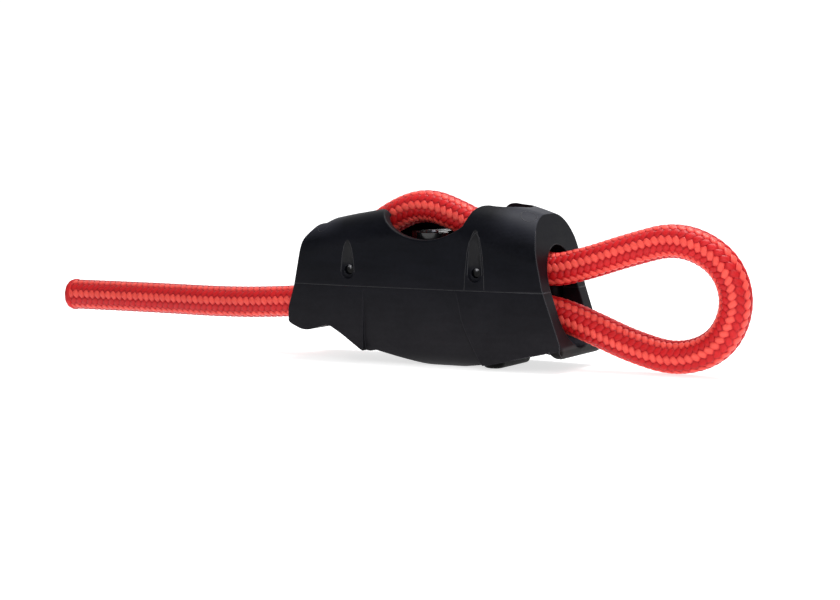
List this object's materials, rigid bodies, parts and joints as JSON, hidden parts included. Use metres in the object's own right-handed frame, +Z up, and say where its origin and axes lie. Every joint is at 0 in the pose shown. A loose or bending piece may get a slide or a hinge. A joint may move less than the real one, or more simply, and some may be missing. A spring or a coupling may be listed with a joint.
{
  "type": "rope clutch",
  "caption": "Rope clutch: a black two-part body over a red braided rope that is anchored in the belly, loops at one end and arches up over a cam cleat.",
  "frame": {"origin": "on the surface the belly rests on, under the middle of the body's length and width", "axes": "+X along the body towards the rope's loop, +Z up out of the window, Y across, with Y=0 the mirror plane"},
  "size_m": [0.2414, 0.0354, 0.0531],
  "materials": {
    "casing": "moulded matte black, faintly blue, soft grey sheen on edges",
    "rope": "braided polyester cover, bright red, glossy yarns",
    "cam": "gloss black moulded teeth",
    "plate": "stamped stainless plate",
    "pin": "black-coated stainless pin",
    "roller": "black acetal sleeve",
    "washer": "natural acetal washer",
    "ferrule": "swaged aluminium, satin",
    "bush": "natural acetal bush",
    "post": "turned stainless",
    "clip": "spring steel ring",
    "spring": "drawn spring wire",
    "fastener": "stainless pan head"
  },
  "bodies": {
    "body": {"casing_upper": "casing", "casing_lower": "casing", "case_screws": "fastener", "cleat_base": "plate", "cleat_screws": "fastener", "tail_pin": "pin", "loop_pin": "pin", "tail_roller_washers": "washer", "loop_roller_washers": "washer", "rope_ferrule": "ferrule", "anchor_keeper": "plate", "rope": "rope", "cam_post_far": "post", "cam_post_near": "post", "cam_clip_far": "clip", "cam_clip_near": "clip", "cam_washer_far": "washer", "cam_washer_near": "washer", "cam_spring_far": "spring", "cam_spring_near": "spring"},
    "cam_near": {"cam_near": "cam", "cam_bush_near": "bush"},
    "cam_far": {"cam_far": "cam", "cam_bush_far": "bush"},
    "tail_roller": {"tail_roller": "roller"},
    "loop_roller": {"loop_roller": "roller"}
  },
  "joints": [
    {"name": "cam_near_swing", "type": "hinge", "parent": "body", "child": "cam_near", "pos_m": [0.001, -0.009, 0.036], "axis": [0, 0, 1], "range_deg": [0, 50], "stiffness_Nm_per_rad": 0.02, "springref_deg": -20.05, "deforming": ["cam_spring_near"]},
    {"name": "cam_far_swing", "type": "hinge", "parent": "body", "child": "cam_far", "pos_m": [0.001, 0.009, 0.036], "axis": [0, 0, -1], "range_deg": [0, 50], "stiffness_Nm_per_rad": 0.02, "springref_deg": -20.05, "deforming": ["cam_spring_far"]},
    {"name": "tail_roller_spin", "type": "hinge", "parent": "body", "child": "tail_roller", "pos_m": [-0.024, 0, 0.0287], "axis": [0, 1, 0], "continuous": true},
    {"name": "loop_roller_spin", "type": "hinge", "parent": "body", "child": "loop_roller", "pos_m": [0.0196, 0, 0.0291], "axis": [0, 1, 0], "continuous": true}
  ]
}
